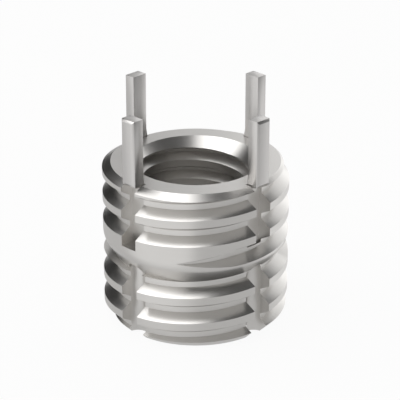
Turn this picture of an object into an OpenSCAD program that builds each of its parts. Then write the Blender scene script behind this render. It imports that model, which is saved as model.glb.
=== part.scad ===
// Key-locking threaded insert: a steel bush threaded outside and inside,
// with four keys that are driven down its slots to lock it in its hole.
// Z runs up the axis, z = 0 is the lower end face, and -Y is the front.

/* [Body] */
// Length of the body between its end faces
body_len = 12.7; // [12.5:0.1:14]
// Outside diameter over the thread crests
thread_od = 14.29; // [13.9:0.01:15]
// Radial width of the top chamfer
top_chamfer_w = 0.645; // [0.4:0.005:0.8]
// Height of the top chamfer
top_chamfer_h = 0.4; // [0.2:0.02:0.7]
// Radial width of the lower chamfer
end_chamfer_w = 0.93; // [0.7:0.01:1.1]
// Height of the lower chamfer
end_chamfer_h = 0.93; // [0.7:0.01:1.1]

/* [Outside thread] */
// Distance between neighbouring turns
thread_pitch = 2.117; // [2:0.001:2.2]
// Radial depth of the groove
thread_depth = 0.9; // [0.6:0.01:1]
// Width of the flat crest
crest_flat = 0.64; // [0.6:0.01:0.8]
// Angle between a flank and a plane across the axis
flank_angle = 30; // [27:0.5:31]
// Depth of the groove's middle below the top face, at the front
first_groove = 1.15; // [0.9:0.01:1.4]
// Compass angle where the upper thread's third turn has run out
upper_end_angle = -18; // [-30:1:0]
// Angle over which the upper thread runs out
upper_fade = 43; // [20:1:60]
// Compass angle where the lower thread starts, inside the relief
lower_start_angle = 125; // [80:1:140]
// Angle over which the lower thread reaches its depth
lower_fade = 45; // [20:1:60]

/* [Relief] */
// Depth below the top face where the relief starts to cut in
relief_top = 5.85; // [5.7:0.01:6.1]
// Height of the relief down to its ledge
relief_len = 1.45; // [1.2:0.01:1.6]
// Radial depth of the relief at its ledge
relief_depth = 0.88; // [0.5:0.01:0.89]
// Radius of the soft start of the relief
relief_fillet = 1.6; // [0.5:0.1:2]

/* [Bore] */
// Core diameter of the inside thread
bore_d = 8; // [7.6:0.01:8.3]
// Diameter of the countersink at each end face
countersink_d = 9.7; // [9.2:0.05:10.2]

/* [Inside thread] */
// Distance between neighbouring turns of the inside thread
bore_pitch = 1.5875; // [1.5:0.0005:1.6]
// Radial depth of the inside thread's groove
bore_thread_depth = 0.6; // [0.3:0.01:0.62]
// Width of the inside groove's bottom
bore_root_flat = 0.05; // [0.02:0.01:0.06]
// Height of an inside groove's middle at the front
bore_groove_z = 10.706; // [9.9:0.01:11.5]

/* [Keys] */
// Width of a key across its slot
key_w = 1.33; // [1:0.01:1.5]
// Radial thickness of a key
key_thick = 1.02; // [0.8:0.01:1.1]
// How far the keys stand above the top face before they are driven
key_proud = 5.19; // [4.5:0.01:5.6]
// How far the keys' feet reach into the slots before they are driven
key_seat = 0.3; // [0.2:0.01:0.5]
// Chamfer along the keys' long edges
key_chamfer = 0.16; // [0.05:0.01:0.25]
// Extra thickness at the wedge foot of a key
foot_flare = 0.1; // [0.02:0.01:0.12]
// Height of the wedge foot
foot_len = 0.9; // [0.5:0.05:1.5]
// How much higher the outer edge of the foot is than its inner edge
foot_rise = 0.3; // [0.1:0.01:0.5]
// Angle of the first key from the front
first_key_angle = 45; // [40:1:50]

/* [Slots] */
// Clearance on each side of a key
side_clear = 0.08; // [0.03:0.01:0.1]
// Clearance between a key's foot and the slot's floor
floor_clear = 0.05; // [0.03:0.01:0.1]
// Length of the key slots below the top face
slot_len = 5.1; // [4.9:0.01:5.4]
// Half width of the lower flutes
flute_r = 0.79; // [0.6:0.01:0.9]
// Depth of a flute below the thread crests
flute_depth = 1.645; // [1.4:0.005:1.8]
// Depth below the top face where the flutes start
flute_top = 6.6; // [6.5:0.01:6.9]

/* [Hidden] */
$fn = 96;
crest_r = thread_od / 2;
root_r = crest_r - thread_depth;
root_flat = thread_pitch - crest_flat - 2 * thread_depth * tan(flank_angle);
overcut = 0.3;             // how far a cutter reaches past the surface that it cuts
turn_steps = 40;           // straight steps in one turn of the outside thread
bore_turn_steps = 24;      // straight steps in one turn of the inside thread
turns_past = 0.5;          // turns that a thread cutter runs on past an end face
relief_steps = 5;          // straight steps in the relief's soft start
turns_above = 2;           // whole turns between the front groove and the upper thread's end
tip_share = 0.1;           // share of the root's flat that is left at the end of a groove's run-out
bore_r = bore_d / 2;
bore_root_r = bore_r + bore_thread_depth;
flute_axis_r = crest_r - flute_depth + flute_r;
countersink_r = countersink_d / 2;
countersink_h = countersink_r - bore_r;
relief_end_z = body_len - relief_top - relief_len;
relief_slope = atan(relief_depth / relief_len);
relief_run = relief_fillet * tan(relief_slope / 2);
key_outer_r = crest_r - 0.02;
key_inner_r = key_outer_r - key_thick;
foot_r = key_inner_r - foot_flare;
slot_floor_r = foot_r - floor_clear;
slot_w = key_w + 2 * side_clear;
key_angles = [for (i = [0:3]) first_key_angle + 90 * i];

// A point at a compass angle from the front, a radius and a height
function at(angle, r, z) = [r * sin(angle), -r * cos(angle), z];

// Height of the outside groove's middle at a compass angle, which falls by whole turns below zero
function groove_z(angle) = body_len - first_groove + thread_pitch * angle / 360;

// Compass angle at which the outside groove's middle is at a height
function groove_angle(z) = 360 * (z - body_len + first_groove) / thread_pitch;

// Share of full depth along a groove that fades at either end, over f0 and f1 degrees
function fade(a, a0, a1, f0, f1) =
    max(0, min(1, f0 > 0 ? (a0 - a) / f0 : 1, f1 > 0 ? (a - a1) / f1 : 1));

// Solid swept round the axis through rings of four corners each, closed at both ends
module screw_solid(rings) {
    last = 4 * (len(rings) - 1);
    sides = [for (i = [0:4:last - 4], j = [0:3])
        let (p = i + j, q = i + (j + 1) % 4)
        each [[p, q, p + 4], [q, q + 4, p + 4]]];
    ends = [[0, 2, 1], [0, 3, 2], [last, last + 1, last + 2], [last, last + 2, last + 3]];
    polyhedron(points = [for (ring = rings) each ring], faces = concat(sides, ends));
}

// Cross-section of the outside groove cutter: two corners at the root and two past the crest
function groove_ring(a, share) =
    let (out = (1 - share) * (thread_depth + overcut / 2),
         low = root_r + out,
         high = crest_r + overcut + out,
         half_low = root_flat / 2 * max(share, tip_share),
         half_high = half_low + (high - low) * tan(flank_angle),
         z = groove_z(a))
    [at(a, low, z - half_low), at(a, low, z + half_low),
     at(a, high, z + half_high), at(a, high, z - half_high)];

// Outside groove cutter from compass angle a0 down to a1
module groove(a0, a1, f0, f1) {
    steps = ceil((a0 - a1) * turn_steps / 360);
    screw_solid([for (i = [0:steps])
        let (a = a0 + (a1 - a0) * i / steps)
        groove_ring(a, fade(a, a0, a1, f0, f1))]);
}

// Inside groove cutter, through both end faces
module bore_groove() {
    inner = bore_r - overcut;
    half_root = bore_root_flat / 2;
    half_in = half_root + (bore_root_r - inner) * tan(flank_angle);
    a0 = 360 * ((body_len - bore_groove_z) / bore_pitch + turns_past);
    a1 = -360 * (bore_groove_z / bore_pitch + turns_past);
    steps = ceil((a0 - a1) * bore_turn_steps / 360);
    screw_solid([for (i = [0:steps])
        let (a = a0 + (a1 - a0) * i / steps, z = bore_groove_z + bore_pitch * a / 360)
        [at(a, bore_root_r, z + half_root), at(a, bore_root_r, z - half_root),
         at(a, inner, z - half_in), at(a, inner, z + half_in)]]);
}

// Turned blank with its chamfers, relief, bore and countersinks
module blank() {
    arc_z = body_len - relief_top;
    arc = [for (i = [0:relief_steps])
        let (a = relief_slope * i / relief_steps)
        [crest_r - relief_fillet * (1 - cos(a)), arc_z + relief_run - relief_fillet * sin(a)]];
    rotate_extrude()
        polygon(concat(
            [[bore_r, countersink_h], [countersink_r, 0],
             [crest_r - end_chamfer_w, 0], [crest_r, end_chamfer_h],
             [crest_r, relief_end_z], [crest_r - relief_depth, relief_end_z]],
            [for (i = [relief_steps:-1:0]) arc[i]],
            [[crest_r, body_len - top_chamfer_h], [crest_r - top_chamfer_w, body_len],
             [countersink_r, body_len], [bore_r, body_len - countersink_h]]));
}

// Key slot cutter along the front, open at the top face
module key_slot() {
    translate([-slot_w / 2, -crest_r - overcut, body_len - slot_len])
        cube([slot_w, crest_r + overcut - slot_floor_r, slot_len + overcut]);
}

// Round-bottomed flute cutter along the front, open at the lower face
module flute() {
    top = body_len - flute_top - flute_r;
    reach = crest_r + overcut - flute_axis_r;
    translate([0, -flute_axis_r, -overcut])
        cylinder(r = flute_r, h = top + overcut);
    translate([0, -flute_axis_r, top]) {
        sphere(r = flute_r);
        rotate([90, 0, 0])
            cylinder(r = flute_r, h = reach);
    }
    translate([-flute_r, -flute_axis_r - reach, -overcut])
        cube([2 * flute_r, reach, top + overcut]);
}

module body() {
    upper_end = upper_end_angle - 360 * turns_above;
    lower_start = lower_start_angle - 360 * (turns_above + 1);
    color([0.72, 0.71, 0.69])
        difference() {
            blank();
            groove(groove_angle(body_len) + 360 * turns_past, upper_end, 0, upper_fade);
            groove(lower_start, groove_angle(0) - 360 * turns_past, lower_fade, 0);
            bore_groove();
            for (a = key_angles) {
                rotate(a) key_slot();
                rotate(a) flute();
            }
        }
}

// Locking key along the front, in its place before it is driven
module key() {
    top = body_len + key_proud;
    foot = body_len - key_seat;
    intersection() {
        rotate([90, 0, 90])
            translate([0, 0, -key_w / 2])
                linear_extrude(key_w)
                    polygon([[-key_inner_r, top], [-key_outer_r, top],
                             [-key_outer_r, foot + foot_rise], [-foot_r, foot],
                             [-foot_r, foot + foot_len / 2], [-key_inner_r, foot + foot_len]]);
        translate([0, 0, foot - overcut])
            linear_extrude(key_proud + key_seat + 2 * overcut)
                polygon([[-key_w / 2, -slot_floor_r], [-key_w / 2, key_chamfer - key_outer_r],
                         [key_chamfer - key_w / 2, -key_outer_r], [key_w / 2 - key_chamfer, -key_outer_r],
                         [key_w / 2, key_chamfer - key_outer_r], [key_w / 2, -slot_floor_r]]);
    }
}

// One of the four keys, counted round from the front right
module key_number(i) {
    color([0.80, 0.79, 0.77])
        rotate(key_angles[i])
            key();
}

module front_right_key() { key_number(0); }
module back_right_key() { key_number(1); }
module back_left_key() { key_number(2); }
module front_left_key() { key_number(3); }

body();
front_right_key();
back_right_key();
back_left_key();
front_left_key();
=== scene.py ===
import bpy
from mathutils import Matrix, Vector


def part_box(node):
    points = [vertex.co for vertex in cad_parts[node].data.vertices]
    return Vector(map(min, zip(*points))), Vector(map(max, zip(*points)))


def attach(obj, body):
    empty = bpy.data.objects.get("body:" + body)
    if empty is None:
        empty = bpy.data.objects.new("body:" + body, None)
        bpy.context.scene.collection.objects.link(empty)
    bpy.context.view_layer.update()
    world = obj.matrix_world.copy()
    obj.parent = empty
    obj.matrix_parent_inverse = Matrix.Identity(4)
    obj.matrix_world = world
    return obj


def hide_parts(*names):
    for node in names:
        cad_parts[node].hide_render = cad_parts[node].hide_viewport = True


bl_info = {
    "name": "Key-locking threaded insert",
    "version": (1, 0, 0),
    "blender": (4, 5, 0),
    "location": "3D View > Sidebar > Insert",
    "description": "A steel bush threaded inside and out, its four locking keys and a plain studio",
    "category": "Add Mesh",
}

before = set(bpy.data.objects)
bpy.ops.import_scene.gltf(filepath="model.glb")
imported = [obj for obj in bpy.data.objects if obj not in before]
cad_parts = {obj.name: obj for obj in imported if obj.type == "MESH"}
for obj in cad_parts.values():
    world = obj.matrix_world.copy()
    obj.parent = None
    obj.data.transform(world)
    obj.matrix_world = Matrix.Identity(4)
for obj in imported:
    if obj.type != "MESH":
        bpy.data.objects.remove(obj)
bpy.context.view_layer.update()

import math

import bpy
from bpy.props import FloatProperty, FloatVectorProperty, PointerProperty
from mathutils import Matrix, Vector

MM = 0.001
BODY_LOW, BODY_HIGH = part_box("body")
BODY_LENGTH = BODY_HIGH[2] - BODY_LOW[2]
KEY_LOW, KEY_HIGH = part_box("front_right_key")
# The keys' nodes and their compass angles, counted from the front
KEY_NODES = ["front_right_key", "back_right_key", "back_left_key", "front_left_key"]
KEY_ANGLES = [math.radians(45 + 90 * i) for i in range(4)]
# A 60 degree thread's flank: how far it moves up or down for each unit of depth
FLANK_SLOPE = math.tan(math.radians(30))
# Straight steps in one turn of a thread, in the turned body and in a flute's mill
THREAD_STEPS = 96
BODY_STEPS = 192
MILL_STEPS = 64
# Straight steps in the relief's soft start and in a flute's dome
FILLET_STEPS = 8
DOME_STEP = math.radians(10)
DOME_POINTS = 9
# Share of a groove's bottom width that is left where it has run out
TIP_SHARE = 0.1
# Edges sharper than these angles stay sharp
BODY_SHARP = math.radians(25)
KEY_SHARP = math.radians(35)
# Points closer than this are one point
MERGE = 1e-6


# Settings

def length(name, millimetres, description):
    """A length in millimetres, kept in metres."""
    return FloatProperty(name=name, description=description, default=millimetres * MM,
                         unit="LENGTH", precision=6)


def angle(name, degrees, description):
    """An angle in degrees, kept in radians."""
    return FloatProperty(name=name, description=description, default=math.radians(degrees),
                         subtype="ANGLE")


def srgb(hex_code):
    """Turns a colour such as "#C8C6C2" into linear red, green and blue."""
    values = [int(hex_code[i:i + 2], 16) / 255 for i in (1, 3, 5)]
    return tuple(v / 12.92 if v <= 0.04045 else ((v + 0.055) / 1.055) ** 2.4 for v in values)


def colour(name, hex_code, description):
    """A colour, kept in linear light."""
    return FloatVectorProperty(name=name, description=description, default=srgb(hex_code),
                               subtype="COLOR", min=0, max=1)


class InsertBodySettings(bpy.types.PropertyGroup):
    crest_radius: length("Crest radius", 7.145, "Radius over the outside thread's crests")
    top_chamfer_width: length("Top chamfer width", 0.645, "Radial width of the top chamfer")
    top_chamfer_height: length("Top chamfer height", 0.4, "Height of the top chamfer")
    end_chamfer: length("Lower chamfer", 0.93, "Width and height of the lower chamfer")
    relief_top: length("Relief start", 5.85, "Depth below the top face where the relief starts")
    relief_length: length("Relief length", 1.45, "Height of the relief down to its ledge")
    relief_depth: length("Relief depth", 0.88, "Radial depth of the relief at its ledge")
    relief_fillet: length("Relief fillet", 1.6, "Radius of the relief's soft start")
    bore_radius: length("Bore radius", 4.0, "Radius of the inside thread's crests")
    countersink_radius: length("Countersink radius", 4.85, "Radius of the bore's mouth")
    slot_half_width: length("Slot half width", 0.745, "Half the width of a key slot")
    slot_floor: length("Slot floor", 5.955, "Distance from the axis to a key slot's floor")
    slot_length: length("Slot length", 5.1, "Length of a key slot below the top face")
    flute_radius: length("Flute radius", 0.79, "Half the width of a lower flute")
    flute_floor: length("Flute floor", 5.5, "Distance from the axis to a flute's bottom")
    flute_top: length("Flute top", 6.6, "Depth below the top face where a flute starts")


class OutsideThreadSettings(bpy.types.PropertyGroup):
    pitch: length("Pitch", 2.117, "Distance between neighbouring turns")
    depth: length("Depth", 0.9, "Radial depth of the groove")
    root_flat: length("Root flat", 0.438, "Width of the groove's flat bottom")
    edge_break: length("Edge break", 0.05, "Width of the broken edge beside each crest")
    first_groove: length("First groove", 1.15, "Depth of the groove's middle at the front")
    upper_end: angle("Upper end", -738, "Where the upper thread has run out")
    upper_fade: angle("Upper run-out", 43, "Angle over which the upper thread runs out")
    lower_start: angle("Lower start", -955, "Where the lower thread starts in the relief")
    lower_fade: angle("Lower run-in", 45, "Angle over which the lower thread reaches depth")


class InsideThreadSettings(bpy.types.PropertyGroup):
    pitch: length("Pitch", 1.5875, "Distance between neighbouring turns")
    root_radius: length("Root radius", 4.74, "Radius of the groove's bottom")
    root_flat: length("Root flat", 0.2, "Width of the groove's flat bottom")
    front_height: length("Groove height", 10.706, "Height of a groove's middle at the front")


class KeySettings(bpy.types.PropertyGroup):
    width: length("Width", 1.33, "Width of a key across its slot")
    outer_radius: length("Outer radius", 7.125, "Distance from the axis to a key's outer face")
    inner_radius: length("Inner radius", 6.105, "Distance from the axis to a key's inner face")
    foot_radius: length("Foot radius", 6.005, "Distance from the axis to the foot's inner face")
    foot_length: length("Foot length", 0.9, "Height of the wedge foot")
    foot_rise: length("Foot rise", 0.3, "Rise of the foot from its inner to its outer edge")
    chamfer: length("Chamfer", 0.16, "Chamfer along the outer long edges")
    edge_break: length("Edge break", 0.03, "Width of the other broken edges")


class FinishSettings(bpy.types.PropertyGroup):
    body_steel: colour("Body steel", "#E1DFDC", "Turned stainless steel")
    key_steel: colour("Key steel", "#D9D7D5", "Drawn stainless steel")
    paper: colour("Paper", "#F4F4F3", "Matt white paper of the floor")


class StudioSettings(bpy.types.PropertyGroup):
    elevation: angle("Elevation", 24.37, "Camera height angle above the horizontal")
    distance: length("Distance", 153.36, "From the camera to its target on the axis")
    target_height: length("Target height", 8.7, "Height of the camera's target on the axis")
    lens: FloatProperty(name="Lens", description="Focal length in mm on a 36 mm sensor",
                        default=179.4)
    shift_x: FloatProperty(name="Shift X", description="Sideways lens shift", default=0.0107)
    shift_y: FloatProperty(name="Shift Y", description="Upward lens shift", default=0.0183)


# Modelling helpers

def deselect():
    bpy.ops.object.select_all(action="DESELECT")


def pick(piece):
    """Makes a piece the active one and the only one selected."""
    deselect()
    piece.select_set(True)
    bpy.context.view_layer.objects.active = piece


def edit(piece):
    """Opens a piece in edit mode with all of it selected."""
    pick(piece)
    bpy.ops.object.mode_set(mode="EDIT")
    bpy.ops.mesh.select_all(action="SELECT")


def close_edit():
    """Turns the selected faces outwards and leaves edit mode."""
    bpy.ops.mesh.normals_make_consistent(inside=False)
    bpy.ops.object.mode_set(mode="OBJECT")


def outline(name, points):
    """A closed ring of edges through (radius, height) points, in the front half plane."""
    deselect()
    bpy.ops.mesh.primitive_circle_add(vertices=len(points), radius=1, fill_type="NOTHING")
    piece = bpy.context.active_object
    piece.name = name
    for vertex, (radius, height) in zip(piece.data.vertices, points):
        vertex.co = (0, -radius, height)
    return piece


def turned(name, points, steps):
    """A closed outline spun once about the axis."""
    piece = outline(name, points)
    edit(piece)
    bpy.ops.mesh.spin(steps=steps, angle=math.tau, center=(0, 0, 0), axis=(0, 0, 1))
    bpy.ops.mesh.select_all(action="SELECT")
    bpy.ops.mesh.remove_doubles(threshold=MERGE)
    close_edit()
    return piece


def apply_all(piece):
    """Applies a piece's modifiers in order."""
    pick(piece)
    for modifier in list(piece.modifiers):
        bpy.ops.object.modifier_apply(modifier=modifier.name)


def helix(name, section, pitch, start, end):
    """A section at the front swept up a screw line between two angles from the front."""
    piece = outline(name, section)
    rise = Matrix.Translation((0, 0, pitch * start / math.tau))
    piece.data.transform(rise @ Matrix.Rotation(start, 4, "Z"))
    screw = piece.modifiers.new("Screw", "SCREW")
    screw.angle = end - start
    screw.screw_offset = pitch * (end - start) / math.tau
    screw.steps = math.ceil(THREAD_STEPS * (end - start) / math.tau)
    screw.render_steps = screw.steps
    screw.use_smooth_shade = False
    apply_all(piece)
    edit(piece)
    bpy.ops.mesh.fill_holes(sides=len(section))
    close_edit()
    return piece


def run_out(piece, pitch, front_height, start, end, start_fade, end_fade, lift, half_root):
    """Lifts a helix's two ends outwards, as a tool leaves the work, and draws them to a point."""
    for vertex in piece.data.vertices:
        x, y, z = vertex.co
        compass = math.atan2(x, -y)
        turns = round((z - front_height) / pitch - compass / math.tau)
        along = compass + turns * math.tau
        share = 1.0
        if start_fade:
            share = min(share, (along - start) / start_fade)
        if end_fade:
            share = min(share, (end - along) / end_fade)
        narrowing = (1 - max(TIP_SHARE, share)) * half_root
        radius = math.hypot(x, y)
        stretch = (radius + (1 - max(0.0, share)) * lift) / radius
        beside = z - front_height - pitch * along / math.tau
        vertex.co = (x * stretch, y * stretch, z - math.copysign(narrowing, beside))


def around(piece, angles):
    """Turns copies of a piece to the angles about the axis and joins them."""
    copies = []
    for turn in angles:
        copy = piece.copy()
        copy.data = piece.data.copy()
        copy.data.transform(Matrix.Rotation(turn, 4, "Z"))
        bpy.context.collection.objects.link(copy)
        copies.append(copy)
    bpy.data.objects.remove(piece)
    deselect()
    for copy in copies:
        copy.select_set(True)
    bpy.context.view_layer.objects.active = copies[0]
    bpy.ops.object.join()
    return copies[0]


def context_piece(name):
    """Names the piece just added and puts its place into its mesh."""
    piece = bpy.context.active_object
    piece.name = name
    bpy.ops.object.transform_apply(location=True, rotation=True, scale=True)
    return piece


def block(name, low, high):
    """A box cutter between two corners."""
    deselect()
    middle = [(a + b) / 2 for a, b in zip(low, high)]
    bpy.ops.mesh.primitive_cube_add(size=1, location=middle)
    bpy.context.active_object.scale = [b - a for a, b in zip(low, high)]
    return context_piece(name)


def cut(piece, cutter):
    """Cuts a cutter out of a piece and removes the cutter."""
    boolean = piece.modifiers.new("Cut", "BOOLEAN")
    boolean.operation = "DIFFERENCE"
    boolean.solver = "EXACT"
    boolean.object = cutter
    apply_all(piece)
    bpy.data.objects.remove(cutter)


def finish(piece, material, body, nodes, sharp):
    """Shades a piece, gives it its material, ties it to its body and hides its nodes."""
    pick(piece)
    bpy.ops.object.shade_smooth_by_angle(angle=sharp)
    piece.data.materials.clear()
    piece.data.materials.append(material)
    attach(piece, body)
    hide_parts(*nodes)


# Materials

def add(tree, kind, settings=None, links=None):
    """Adds one node with its settings and the links into its sockets."""
    node = tree.nodes.new(kind)
    for name, value in (settings or {}).items():
        if isinstance(name, str) and hasattr(node, name):
            setattr(node, name, value)
        else:
            node.inputs[name].default_value = value
    for socket, source in (links or {}).items():
        tree.links.new(source, node.inputs[socket])
    return node


def new_material(name):
    """A material with an empty node tree."""
    material = bpy.data.materials.new(name)
    material.use_nodes = True
    material.node_tree.nodes.clear()
    return material, material.node_tree


def turned_stainless(steel):
    """Stainless steel turned on a lathe: fine feed rings that run round the axis."""
    material, tree = new_material("turned_stainless_steel")
    place = add(tree, "ShaderNodeTexCoord").outputs["Object"]
    axes = add(tree, "ShaderNodeSeparateXYZ", links={0: place})
    flat = add(tree, "ShaderNodeCombineXYZ", links={"X": axes.outputs["X"], "Y": axes.outputs["Y"]})
    radius = add(tree, "ShaderNodeVectorMath", {"operation": "LENGTH"}, {0: flat.outputs[0]})
    lathe = add(tree, "ShaderNodeCombineXYZ",
                links={"X": radius.outputs["Value"], "Y": axes.outputs["Z"]})
    # Feed marks are about 0.05 mm apart; they are drawn at 0.16 mm so that they show at all
    rings = add(tree, "ShaderNodeTexNoise", {"Scale": 1 / (0.16 * MM), "Detail": 2.0},
                {"Vector": lathe.outputs[0]})
    # Broad clouding from handling, about 4 mm across
    cloud = add(tree, "ShaderNodeTexNoise", {"Scale": 1 / (4 * MM), "Detail": 2.0}, {"Vector": place})
    rough = add(tree, "ShaderNodeMapRange",
                {"From Min": 0.3, "From Max": 0.7, "To Min": 0.28, "To Max": 0.32},
                {"Value": rings.outputs["Fac"]})
    dark = tuple(0.94 * v for v in steel) + (1,)
    tint = add(tree, "ShaderNodeMix", {"data_type": "RGBA", 6: dark, 7: tuple(steel) + (1,)},
               {0: cloud.outputs["Fac"]})
    bump = add(tree, "ShaderNodeBump", {"Strength": 0.06, "Distance": 0.004 * MM},
               {"Height": rings.outputs["Fac"]})
    shader = add(tree, "ShaderNodeBsdfPrincipled", {"Metallic": 1.0},
                 {"Base Color": tint.outputs[2], "Roughness": rough.outputs["Result"],
                  "Normal": bump.outputs["Normal"]})
    add(tree, "ShaderNodeOutputMaterial", links={"Surface": shader.outputs[0]})
    return material


def drawn_stainless(steel):
    """Square stainless wire, drawn through a die: faint straight lines along its length."""
    material, tree = new_material("drawn_stainless_steel")
    place = add(tree, "ShaderNodeTexCoord").outputs["Object"]
    # Die lines are about 0.1 mm apart and run for several millimetres
    across = 1 / (0.1 * MM)
    along = 1 / (6 * MM)
    wire = add(tree, "ShaderNodeMapping", {"Scale": (across, across, along)}, {"Vector": place})
    lines = add(tree, "ShaderNodeTexNoise", {"Scale": 1.0, "Detail": 1.0},
                {"Vector": wire.outputs[0]})
    rough = add(tree, "ShaderNodeMapRange",
                {"From Min": 0.3, "From Max": 0.7, "To Min": 0.28, "To Max": 0.38},
                {"Value": lines.outputs["Fac"]})
    bump = add(tree, "ShaderNodeBump", {"Strength": 0.2, "Distance": 0.003 * MM},
               {"Height": lines.outputs["Fac"]})
    shader = add(tree, "ShaderNodeBsdfPrincipled",
                 {"Metallic": 1.0, "Base Color": tuple(steel) + (1,)},
                 {"Roughness": rough.outputs["Result"], "Normal": bump.outputs["Normal"]})
    add(tree, "ShaderNodeOutputMaterial", links={"Surface": shader.outputs[0]})
    return material


def white_to_lens(tree, path):
    """1 for rays from the lens, from gloss and through glass, and 0 for the rest."""
    gloss = add(tree, "ShaderNodeMath", {"operation": "MAXIMUM"},
                {0: path.outputs["Is Camera Ray"], 1: path.outputs["Is Glossy Ray"]})
    return add(tree, "ShaderNodeMath", {"operation": "MAXIMUM"},
               {0: gloss.outputs[0], 1: path.outputs["Is Transmission Ray"]}).outputs[0]


def white_paper(paper):
    """Matt white paper: mostly its own even white to the lens, with the shadow kept, and a glow with
    painted pools of light that reflections see.
    """
    material, tree = new_material("matt_white_paper")
    matt = add(tree, "ShaderNodeBsdfDiffuse", {"Color": tuple(paper) + (1,)})
    place = add(tree, "ShaderNodeTexCoord").outputs["Object"]
    axes = add(tree, "ShaderNodeSeparateXYZ", links={0: place})
    # Two painted pools of light lie in the glow that reflections see, at the front left and at the
    # right
    behind = add(tree, "ShaderNodeMath", {"operation": "ADD", 1: 4.5 * MM}, {0: axes.outputs["Y"]})
    painted_pools = add(tree, "ShaderNodeMath", {"operation": "MULTIPLY"},
                {0: axes.outputs["X"], 1: behind.outputs[0]})
    painted_pool_level = add(tree, "ShaderNodeMapRange",
              {"From Min": -8 * MM * MM, "From Max": 55 * MM * MM, "To Min": 0.6, "To Max": 0.9},
              {"Value": painted_pools.outputs[0]})
    path = add(tree, "ShaderNodeLightPath")
    level = add(tree, "ShaderNodeMix", {2: 1.0},
                {0: path.outputs["Is Glossy Ray"], 3: painted_pool_level.outputs["Result"]})
    glow = add(tree, "ShaderNodeEmission", links={"Strength": level.outputs[0]})
    share = add(tree, "ShaderNodeMath", {"operation": "MULTIPLY", 1: 0.93},
                {0: white_to_lens(tree, path)})
    mixed = add(tree, "ShaderNodeMixShader",
                links={0: share.outputs[0], 1: matt.outputs[0], 2: glow.outputs[0]})
    add(tree, "ShaderNodeOutputMaterial", links={"Surface": mixed.outputs[0]})
    return material


def glowing_reflection_card(level):
    """A card glowing at an even level, a painted reflection that metal shows as a darker patch."""
    material, tree = new_material("glowing_reflection_card")
    glow = add(tree, "ShaderNodeEmission", {"Strength": level})
    add(tree, "ShaderNodeOutputMaterial", links={"Surface": glow.outputs[0]})
    return material


# Pieces

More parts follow.
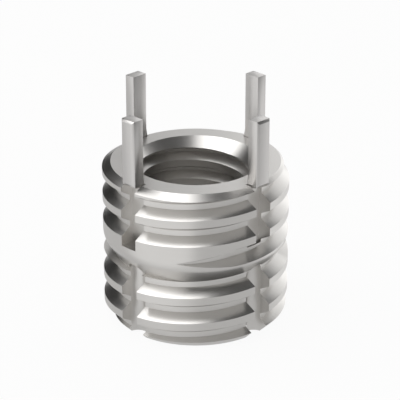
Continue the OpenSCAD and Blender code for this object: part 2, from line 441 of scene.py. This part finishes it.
class INSERT_OT_body(bpy.types.Operator):
    """Turn the bush, cut its two threads, and cut its key slots and flutes"""
    bl_idname = "insert.body"
    bl_label = "Threaded body"

    def execute(self, context):
        body = context.scene.insert_body
        thread = context.scene.insert_outside_thread
        inside = context.scene.insert_inside_thread
        piece = self.blank(body)
        for cutter in self.outside_grooves(body, thread):
            cut(piece, cutter)
        cut(piece, self.inside_groove(body, inside))
        for cutter in self.slot_cutters(body):
            cut(piece, cutter)
        steel = turned_stainless(context.scene.insert_finish.body_steel)
        finish(piece, steel, "body", ["body"], BODY_SHARP)
        return {"FINISHED"}

    def blank(self, body):
        """The bush before its threads and slots: end chamfers, relief, bore and countersinks."""
        slope = math.atan(body.relief_depth / body.relief_length)
        arc_height = BODY_LENGTH - body.relief_top + body.relief_fillet * math.tan(slope / 2)
        arc = []
        for i in range(FILLET_STEPS + 1):
            bend = slope * i / FILLET_STEPS
            arc.append((body.crest_radius - body.relief_fillet * (1 - math.cos(bend)),
                        arc_height - body.relief_fillet * math.sin(bend)))
        ledge = BODY_LENGTH - body.relief_top - body.relief_length
        sink = body.countersink_radius - body.bore_radius
        points = [(body.bore_radius, sink), (body.countersink_radius, 0),
                  (body.crest_radius - body.end_chamfer, 0), (body.crest_radius, body.end_chamfer),
                  (body.crest_radius, ledge), (body.crest_radius - body.relief_depth, ledge)]
        points += reversed(arc)
        points += [(body.crest_radius, BODY_LENGTH - body.top_chamfer_height),
                   (body.crest_radius - body.top_chamfer_width, BODY_LENGTH),
                   (body.countersink_radius, BODY_LENGTH), (body.bore_radius, BODY_LENGTH - sink)]
        return turned("threaded_body", points, BODY_STEPS)

    def outside_grooves(self, body, thread):
        """Cutters for the upper thread, which runs out above the relief, and the lower one."""
        over = 0.15 * MM
        turns_past = 0.5
        root = body.crest_radius - thread.depth
        shoulder = body.crest_radius - thread.edge_break
        outer = body.crest_radius + over
        half_root = thread.root_flat / 2
        half_top = half_root + (shoulder - root) * FLANK_SLOPE
        half_out = half_top + (thread.edge_break + over) / FLANK_SLOPE / 2
        middle = BODY_LENGTH - thread.first_groove
        section = [(root, middle - half_root), (root, middle + half_root),
                   (shoulder, middle + half_top), (outer, middle + half_out),
                   (outer, middle - half_out), (shoulder, middle - half_top)]
        above = math.tau * (thread.first_groove / thread.pitch + turns_past)
        below = -math.tau * (middle / thread.pitch + turns_past)
        lift = thread.depth + over
        upper = helix("upper_groove", section, thread.pitch, thread.upper_end, above)
        run_out(upper, thread.pitch, middle, thread.upper_end, above, thread.upper_fade, 0,
                lift, half_root)
        lower = helix("lower_groove", section, thread.pitch, below, thread.lower_start)
        run_out(lower, thread.pitch, middle, below, thread.lower_start, 0, thread.lower_fade,
                lift, half_root)
        return upper, lower

    def inside_groove(self, body, inside):
        """A cutter for the inside thread, which runs from end to end."""
        over = 0.2 * MM
        turns_past = 0.6
        middle = inside.front_height
        inner = body.bore_radius - over
        half_root = inside.root_flat / 2
        half_in = half_root + (inside.root_radius - body.bore_radius + over) * FLANK_SLOPE
        section = [(inner, middle - half_in), (inside.root_radius, middle - half_root),
                   (inside.root_radius, middle + half_root), (inner, middle + half_in)]
        low = -math.tau * (middle / inside.pitch + turns_past)
        high = math.tau * ((BODY_LENGTH - middle) / inside.pitch + turns_past)
        return helix("inside_groove", section, inside.pitch, low, high)

    def slot_cutters(self, body):
        """Cutters for the four key slots and the four round flutes below them."""
        over = 0.4 * MM
        half = body.slot_half_width
        slot = block("key_slots", (-half, -body.crest_radius - over, BODY_LENGTH - body.slot_length),
                     (half, -body.slot_floor, BODY_LENGTH + over))
        axis = body.flute_floor + body.flute_radius
        reach = body.crest_radius + over - axis
        top = BODY_LENGTH - body.flute_top - body.flute_radius
        dome = []
        for i in range(DOME_POINTS):
            bend = DOME_STEP * i
            dome.append((body.flute_radius * math.cos(bend), top + body.flute_radius * math.sin(bend)))
        mill = turned("flute_round", [(0, -over), (body.flute_radius, -over)] + dome
                      + [(0, top + body.flute_radius)], MILL_STEPS)
        mill.data.transform(Matrix.Translation((0, -axis, 0)))
        mouth = block("flute_mouth", (-body.flute_radius, -axis - reach, -over),
                      (body.flute_radius, -axis, top))
        deselect()
        bpy.ops.mesh.primitive_cylinder_add(
            vertices=MILL_STEPS, radius=body.flute_radius, depth=reach,
            location=(0, -axis - reach / 2, top), rotation=(math.pi / 2, 0, 0))
        arch = context_piece("flute_arch")
        return [around(cutter, KEY_ANGLES) for cutter in (slot, mill, mouth, arch)]


class INSERT_OT_keys(bpy.types.Operator):
    """Shape one locking key and stand a copy in each slot"""
    bl_idname = "insert.keys"
    bl_label = "Locking keys"

    def execute(self, context):
        key = context.scene.insert_key
        material = drawn_stainless(context.scene.insert_finish.key_steel)
        pattern = self.shape(key)
        for node, turn in zip(KEY_NODES, KEY_ANGLES):
            piece = pattern.copy()
            piece.data = pattern.data.copy()
            piece.data.transform(Matrix.Rotation(turn, 4, "Z"))
            piece.name = "locking_" + node
            bpy.context.collection.objects.link(piece)
            finish(piece, material, node, [node], KEY_SHARP)
        bpy.data.objects.remove(pattern)
        return {"FINISHED"}

    def shape(self, key):
        """One key at the front: a bar with a wedge foot, chamfered outside, its edges broken."""
        low = KEY_LOW[2]
        high = KEY_HIGH[2]
        piece = outline("key_pattern", [
            (key.inner_radius, high), (key.outer_radius, high), (key.outer_radius, low + key.foot_rise),
            (key.foot_radius, low), (key.foot_radius, low + key.foot_length / 2),
            (key.inner_radius, low + key.foot_length)])
        piece.data.transform(Matrix.Translation((-key.width / 2, 0, 0)))
        edit(piece)
        bpy.ops.mesh.edge_face_add()
        bpy.ops.mesh.extrude_region_move(TRANSFORM_OT_translate={"value": (key.width, 0, 0)})
        bpy.ops.mesh.select_all(action="SELECT")
        close_edit()
        # Only the two long edges of the outer face are chamfered
        for edge in piece.data.edges:
            a, b = (piece.data.vertices[i].co for i in edge.vertices)
            edge.select = (abs(a.x - b.x) < MERGE and max(a.y, b.y) < -key.outer_radius + MERGE)
        pick(piece)
        for polygon in piece.data.polygons:
            polygon.select = False
        for vertex in piece.data.vertices:
            vertex.select = False
        bpy.ops.object.mode_set(mode="EDIT")
        bpy.ops.mesh.select_mode(type="EDGE")
        bpy.ops.mesh.bevel(offset=key.chamfer, segments=1, affect="EDGES")
        bpy.ops.mesh.select_all(action="SELECT")
        close_edit()
        bevel = piece.modifiers.new("Edges", "BEVEL")
        bevel.width = key.edge_break
        bevel.segments = 2
        bevel.limit_method = "ANGLE"
        bevel.angle_limit = math.radians(20)
        apply_all(piece)
        return piece


class INSERT_OT_studio(bpy.types.Operator):
    """Set out the floor, lamps, cards, world and camera"""
    bl_idname = "insert.studio"
    bl_label = "Studio"

    # Compass angle from the front and height angle in degrees, distance and side in metres, radiance
    softboxes = {
        "left_softbox": (-86, 64, 0.25, 0.23, 1.1),
        "back_softbox": (146, 4, 0.30, 0.14, 0.5),
    }
    # The same two angles, distance, width and height in metres, and the glow level of the painted
    # reflection
    cards = {
        "lens_side_card": (34, 32, 0.30, 0.70, 0.50, 0.10),
        "right_card": (98, 24, 0.29, 0.24, 0.26, 0.22),
        "upper_card": (112, 65, 0.27, 0.27, 0.24, 0.08),
        "back_left_card": (-145, 22, 0.28, 0.31, 0.34, 0.0),
        "back_card": (-173, 32, 0.27, 0.08, 0.36, 0.54),
    }

    def execute(self, context):
        scene = context.scene
        deselect()
        bpy.ops.mesh.primitive_plane_add(size=1.2)
        floor = context.active_object
        floor.name = "floor"
        floor.data.materials.append(white_paper(scene.insert_finish.paper))
        for name, place in self.softboxes.items():
            self.softbox(name, *place)
        for name, place in self.cards.items():
            self.card(name, *place)
        self.world(scene)
        self.camera(scene, scene.insert_studio)
        return {"FINISHED"}

    def aim(self, compass, elevation, distance):
        """The place at two angles in degrees and a distance, turned to the body's top."""
        compass = math.radians(compass)
        elevation = math.radians(elevation)
        away = Vector((math.cos(elevation) * math.sin(compass),
                       -math.cos(elevation) * math.cos(compass), math.sin(elevation)))
        turn = away.to_track_quat("Z", "Y").to_matrix().to_4x4()
        return Matrix.Translation(away * distance + Vector((0, 0, BODY_LENGTH))) @ turn

    def softbox(self, name, compass, elevation, distance, size, radiance):
        """A square lamp with an even radiance, which is what a mirror would show of it."""
        lamp = bpy.data.lights.new(name, "AREA")
        lamp.shape = "SQUARE"
        lamp.size = size
        lamp.energy = radiance * math.pi * size * size
        thing = bpy.data.objects.new(name, lamp)
        bpy.context.collection.objects.link(thing)
        thing.matrix_world = self.aim(compass, elevation, distance)
        thing.visible_camera = False

    def card(self, name, compass, elevation, distance, width, height, level):
        """A glowing card that only reflections see: a painted reflection."""
        deselect()
        bpy.ops.mesh.primitive_plane_add(size=1)
        thing = bpy.context.active_object
        thing.name = name
        size = Matrix.Diagonal((width, height, 1, 1))
        thing.data.transform(self.aim(compass, elevation, distance) @ size)
        thing.data.materials.append(glowing_reflection_card(level))
        thing.visible_camera = False
        thing.visible_shadow = False
        thing.visible_diffuse = False

    def world(self, scene):
        """Even air that looks white to the lens and lights the scene a little less."""
        world = bpy.data.worlds.new("studio_air")
        world.use_nodes = True
        world.node_tree.nodes.clear()
        tree = world.node_tree
        level = add(tree, "ShaderNodeMapRange", {"To Min": 0.6, "To Max": 1.0},
                    {"Value": white_to_lens(tree, add(tree, "ShaderNodeLightPath"))})
        air = add(tree, "ShaderNodeBackground", {"Color": (1, 1, 1, 1)},
                  {"Strength": level.outputs["Result"]})
        add(tree, "ShaderNodeOutputWorld", links={"Surface": air.outputs[0]})
        scene.world = world
        scene.view_settings.view_transform = "Standard"

    def camera(self, scene, studio):
        lens = bpy.data.cameras.new("camera")
        lens.lens = studio.lens
        lens.sensor_width = 36
        lens.shift_x = studio.shift_x
        lens.shift_y = studio.shift_y
        lens.clip_start = 0.01
        thing = bpy.data.objects.new("camera", lens)
        bpy.context.collection.objects.link(thing)
        thing.location = (0, -studio.distance * math.cos(studio.elevation),
                          studio.target_height + studio.distance * math.sin(studio.elevation))
        thing.rotation_euler = (math.pi / 2 - studio.elevation, 0, 0)
        scene.camera = thing


class INSERT_PT_panel(bpy.types.Panel):
    """The pieces of the insert and its studio"""
    bl_idname = "INSERT_PT_panel"
    bl_label = "Threaded insert"
    bl_space_type = "VIEW_3D"
    bl_region_type = "UI"
    bl_category = "Insert"

    def draw(self, context):
        for operator in OPERATORS:
            self.layout.operator(operator.bl_idname)
        for name in SETTINGS:
            group = getattr(context.scene, name)
            for field in group.__annotations__:
                self.layout.prop(group, field)


OPERATORS = [INSERT_OT_body, INSERT_OT_keys, INSERT_OT_studio]
SETTINGS = {
    "insert_body": InsertBodySettings,
    "insert_outside_thread": OutsideThreadSettings,
    "insert_inside_thread": InsideThreadSettings,
    "insert_key": KeySettings,
    "insert_finish": FinishSettings,
    "insert_studio": StudioSettings,
}


def register():
    for name, group in SETTINGS.items():
        bpy.utils.register_class(group)
        setattr(bpy.types.Scene, name, PointerProperty(type=group))
    for part in OPERATORS + [INSERT_PT_panel]:
        bpy.utils.register_class(part)


def unregister():
    for part in reversed(OPERATORS + [INSERT_PT_panel]):
        bpy.utils.unregister_class(part)
    for name, group in SETTINGS.items():
        delattr(bpy.types.Scene, name)
        bpy.utils.unregister_class(group)


def main():
    register()
    bpy.ops.insert.body()
    bpy.ops.insert.keys()
    bpy.ops.insert.studio()


if __name__ == "__main__":
    main()
